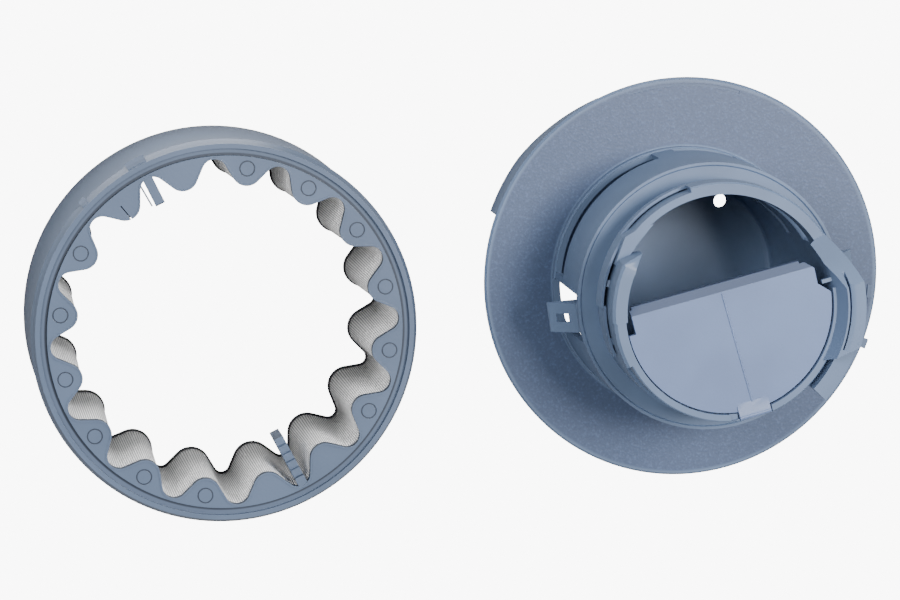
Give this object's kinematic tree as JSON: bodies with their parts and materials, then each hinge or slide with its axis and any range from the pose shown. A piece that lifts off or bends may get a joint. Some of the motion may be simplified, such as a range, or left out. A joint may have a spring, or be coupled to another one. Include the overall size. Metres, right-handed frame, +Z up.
{
  "type": "dishwasher filter",
  "caption": "Two-piece dishwasher filter: a round strainer ring with a wavy mesh wall, and a flanged tubular collar whose mouth has a half-moon flap.",
  "frame": {"origin": "middle of the two pieces' common footprint, on the floor that both stand on", "axes": "+X from the ring's centre to the collar's centre, +Z up out of the ring's rim and the collar's mouth"},
  "size_m": [0.3274, 0.1534, 0.0956],
  "materials": {
    "ring_plastic": "satin moulded plastic, blue-grey",
    "steel_mesh": "fine woven stainless wire",
    "collar_plastic": "fine-grained moulded plastic, blue-grey",
    "flap_plastic": "smooth moulded plastic, blue-grey"
  },
  "bodies": {
    "housing": {"ring_frame": "ring_plastic", "mesh_sleeve": "steel_mesh", "collar": "collar_plastic"},
    "flap": {"flap": "flap_plastic"}
  },
  "joints": [
    {"name": "flap_hinge", "type": "hinge", "parent": "housing", "child": "flap", "pos_m": [0.09498, -0.03931, 0.0884], "axis": [0.9803, 0.1977, 0], "range_deg": [0, 100]}
  ]
}
